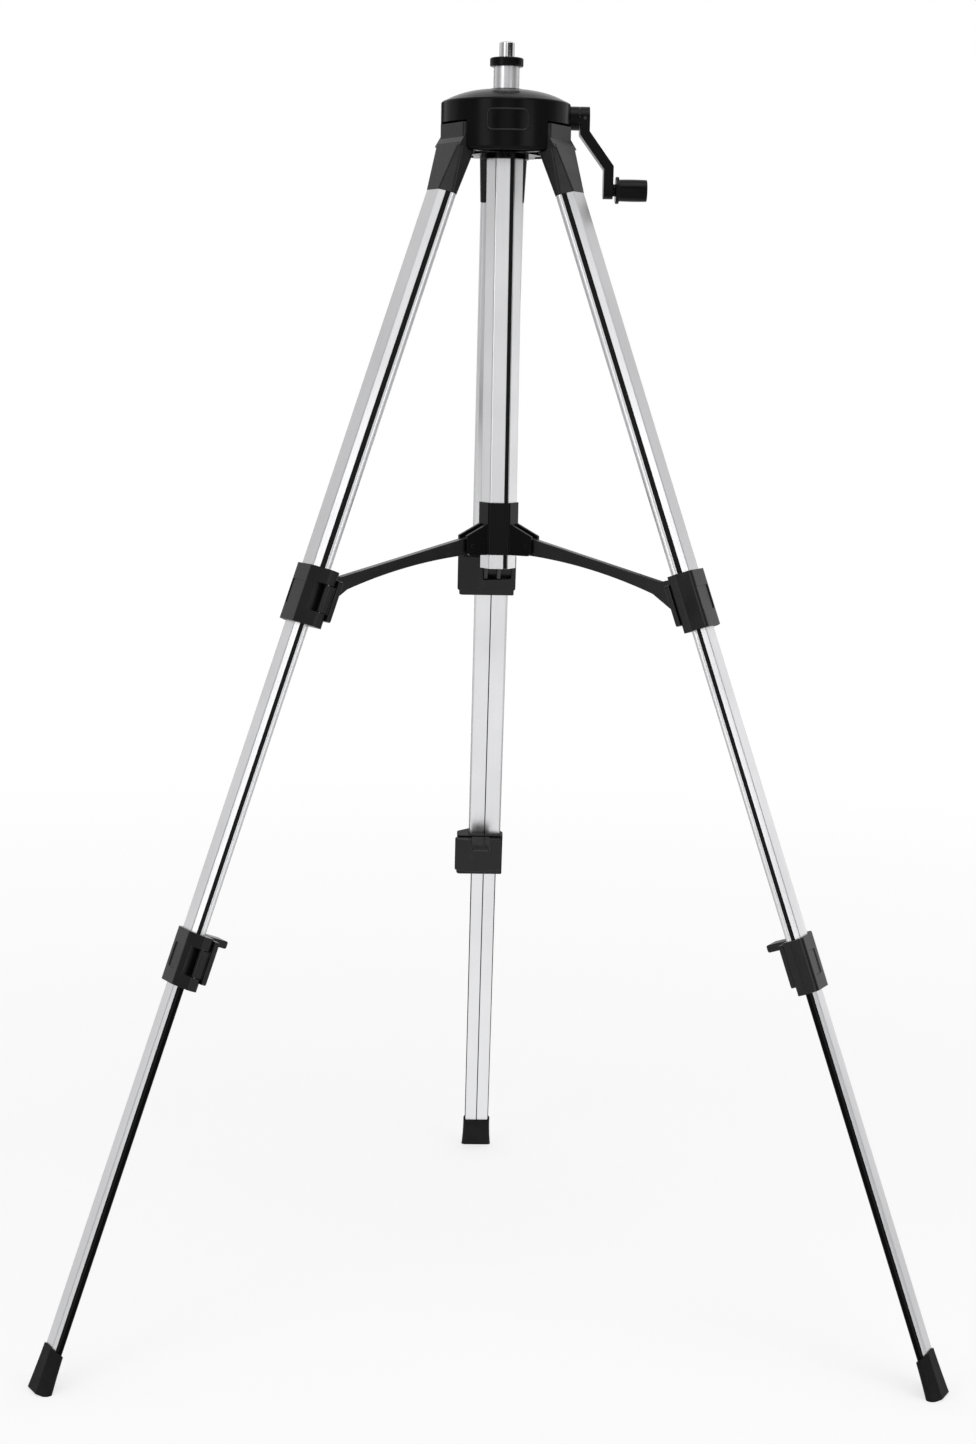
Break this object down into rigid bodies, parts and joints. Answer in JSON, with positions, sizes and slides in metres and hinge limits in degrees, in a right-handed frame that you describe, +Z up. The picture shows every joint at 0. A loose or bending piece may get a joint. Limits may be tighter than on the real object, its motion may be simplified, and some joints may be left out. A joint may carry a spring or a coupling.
{
  "type": "laser level tripod",
  "caption": "Folding tripod for a laser level: crank-raised column with an instrument stud, black crown, telescoping aluminium legs with flip locks and a sliding brace.",
  "frame": {"origin": "on the ground under the column axis, the tripod standing at its full spread", "axes": "+Z up along the column, +Y towards the rear leg, +X towards the crank"},
  "size_m": [0.9488, 0.8245, 1.379],
  "materials": {
    "black_plastic": "black moulded plastic with a soft sheen",
    "bright_tube": "bright drawn aluminium",
    "black_rubber": "black moulded rubber",
    "steel": "plain turned steel"
  },
  "bodies": {
    "head": {"crown_body": "black_plastic", "crown_cap": "black_plastic", "badge_plate": "black_plastic", "column_bush": "black_plastic", "centre_tube": "bright_tube", "leg_pins": "steel", "crank_bush": "steel", "cap_screws": "steel"},
    "column": {"column_tube": "bright_tube", "rack": "black_plastic", "stud": "bright_tube", "seat_ring": "black_plastic", "column_plug": "black_plastic"},
    "crank": {"crank_shaft": "steel", "pinion": "steel", "crank_arm": "black_plastic", "crank_screw": "steel", "grip_pin": "steel"},
    "grip": {"crank_grip": "black_plastic"},
    "brace": {"brace_hub": "black_plastic", "hub_pins": "black_plastic"},
    "left_arm": {"left_brace_arm": "black_plastic"},
    "right_arm": {"right_brace_arm": "black_plastic"},
    "rear_arm": {"rear_brace_arm": "black_plastic"},
    "left_leg": {"left_shoulder": "black_plastic", "left_upper_tube": "bright_tube", "left_upper_collar": "black_plastic", "left_upper_lever_pin": "steel"},
    "left_upper_flip": {"left_upper_lever": "black_plastic"},
    "left_middle": {"left_middle_tube": "bright_tube", "left_lower_collar": "black_plastic", "left_lower_lever_pin": "steel"},
    "left_lower_flip": {"left_lower_lever": "black_plastic"},
    "left_lower": {"left_lower_tube": "bright_tube", "left_foot": "black_rubber"},
    "right_leg": {"right_shoulder": "black_plastic", "right_upper_tube": "bright_tube", "right_upper_collar": "black_plastic", "right_upper_lever_pin": "steel"},
    "right_upper_flip": {"right_upper_lever": "black_plastic"},
    "right_middle": {"right_middle_tube": "bright_tube", "right_lower_collar": "black_plastic", "right_lower_lever_pin": "steel"},
    "right_lower_flip": {"right_lower_lever": "black_plastic"},
    "right_lower": {"right_lower_tube": "bright_tube", "right_foot": "black_rubber"},
    "rear_leg": {"rear_shoulder": "black_plastic", "rear_upper_tube": "bright_tube", "rear_upper_collar": "black_plastic", "rear_upper_lever_pin": "steel"},
    "rear_upper_flip": {"rear_upper_lever": "black_plastic"},
    "rear_middle": {"rear_middle_tube": "bright_tube", "rear_lower_collar": "black_plastic", "rear_lower_lever_pin": "steel"},
    "rear_lower_flip": {"rear_lower_lever": "black_plastic"},
    "rear_lower": {"rear_lower_tube": "bright_tube", "rear_foot": "black_rubber"}
  },
  "joints": [
    {"name": "column_lift", "type": "slide", "parent": "head", "child": "column", "axis": [0, 0, 1], "range_m": [-0.0195, 0.25]},
    {"name": "crank_turn", "type": "hinge", "parent": "head", "child": "crank", "pos_m": [0, 0.02125, 1.30401], "axis": [-1, 0, 0], "range_deg": [-150, 1912]},
    {"name": "grip_spin", "type": "hinge", "parent": "crank", "child": "grip", "pos_m": [0, 0.02125, 1.23001], "axis": [-1, 0, 0], "continuous": true},
    {"name": "left_leg_fold", "type": "hinge", "parent": "head", "child": "left_leg", "pos_m": [-0.0433, -0.025, 1.27601], "axis": [0.5, -0.866, 0], "range_deg": [0, 17.5]},
    {"name": "right_leg_fold", "type": "hinge", "parent": "head", "child": "right_leg", "pos_m": [0.0433, -0.025, 1.27601], "axis": [0.5, 0.866, 0], "range_deg": [0, 17.55]},
    {"name": "rear_leg_fold", "type": "hinge", "parent": "head", "child": "rear_leg", "pos_m": [0, 0.05, 1.27601], "axis": [-1, 0, 0], "range_deg": [0, 17.55]},
    {"name": "brace_slide", "type": "slide", "parent": "head", "child": "brace", "axis": [0, 0, 1], "range_m": [0, 0.10117]},
    {"name": "left_arm_swing", "type": "hinge", "parent": "brace", "child": "left_arm", "pos_m": [-0.03291, -0.019, 0.85101], "axis": [0.5, -0.866, 0], "range_deg": [0, 73.88]},
    {"name": "right_arm_swing", "type": "hinge", "parent": "brace", "child": "right_arm", "pos_m": [0.03291, -0.019, 0.85101], "axis": [0.5, 0.866, 0], "range_deg": [0, 73.88]},
    {"name": "rear_arm_swing", "type": "hinge", "parent": "brace", "child": "rear_arm", "pos_m": [0, 0.038, 0.85101], "axis": [-1, 0, 0], "range_deg": [0, 73.88]},
    {"name": "left_middle_slide", "type": "slide", "parent": "left_leg", "child": "left_middle", "axis": [0.3019, 0.1743, 0.9373], "range_m": [0, 0.33]},
    {"name": "left_lower_slide", "type": "slide", "parent": "left_middle", "child": "left_lower", "axis": [0.3019, 0.1743, 0.9373], "range_m": [0, 0.376]},
    {"name": "left_upper_flip_turn", "type": "hinge", "parent": "left_leg", "child": "left_upper_flip", "pos_m": [-0.18178, -0.1434, 0.80345], "axis": [-0.3019, -0.1743, -0.9373], "range_deg": [0, 95]},
    {"name": "left_lower_flip_turn", "type": "hinge", "parent": "left_middle", "child": "left_lower_flip", "pos_m": [-0.30406, -0.20967, 0.43479], "axis": [-0.3019, -0.1743, -0.9373], "range_deg": [0, 95]},
    {"name": "right_middle_slide", "type": "slide", "parent": "right_leg", "child": "right_middle", "axis": [-0.3019, 0.1743, 0.9373], "range_m": [0, 0.33]},
    {"name": "right_lower_slide", "type": "slide", "parent": "right_middle", "child": "right_lower", "axis": [-0.3019, 0.1743, 0.9373], "range_m": [0, 0.376]},
    {"name": "right_upper_flip_turn", "type": "hinge", "parent": "right_leg", "child": "right_upper_flip", "pos_m": [0.21508, -0.08573, 0.80345], "axis": [0.3019, -0.1743, -0.9373], "range_deg": [0, 95]},
    {"name": "right_lower_flip_turn", "type": "hinge", "parent": "right_middle", "child": "right_lower_flip", "pos_m": [0.33361, -0.15849, 0.43479], "axis": [0.3019, -0.1743, -0.9373], "range_deg": [0, 95]},
    {"name": "rear_middle_slide", "type": "slide", "parent": "rear_leg", "child": "rear_middle", "axis": [0, -0.3486, 0.9373], "range_m": [0, 0.33]},
    {"name": "rear_lower_slide", "type": "slide", "parent": "rear_middle", "child": "rear_lower", "axis": [0, -0.3486, 0.9373], "range_m": [0, 0.376]},
    {"name": "rear_upper_flip_turn", "type": "hinge", "parent": "rear_leg", "child": "rear_upper_flip", "pos_m": [-0.0333, 0.22913, 0.80345], "axis": [0, 0.3486, -0.9373], "range_deg": [0, 95]},
    {"name": "rear_lower_flip_turn", "type": "hinge", "parent": "rear_middle", "child": "rear_lower_flip", "pos_m": [-0.02955, 0.36816, 0.43479], "axis": [0, 0.3486, -0.9373], "range_deg": [0, 95]}
  ],
  "couplings": [
    {"joint": "crank_turn", "follows": "column_lift", "rad_per_m": 133.33},
    {"joint": "right_leg_fold", "follows": "left_leg_fold", "ratio": 1},
    {"joint": "rear_leg_fold", "follows": "left_leg_fold", "ratio": 1},
    {"joint": "brace_slide", "follows": "left_leg_fold", "m_per_rad": 0.33025},
    {"joint": "left_arm_swing", "follows": "left_leg_fold", "ratio": 4.2104},
    {"joint": "right_arm_swing", "follows": "left_leg_fold", "ratio": 4.2104},
    {"joint": "rear_arm_swing", "follows": "left_leg_fold", "ratio": 4.2104}
  ]
}
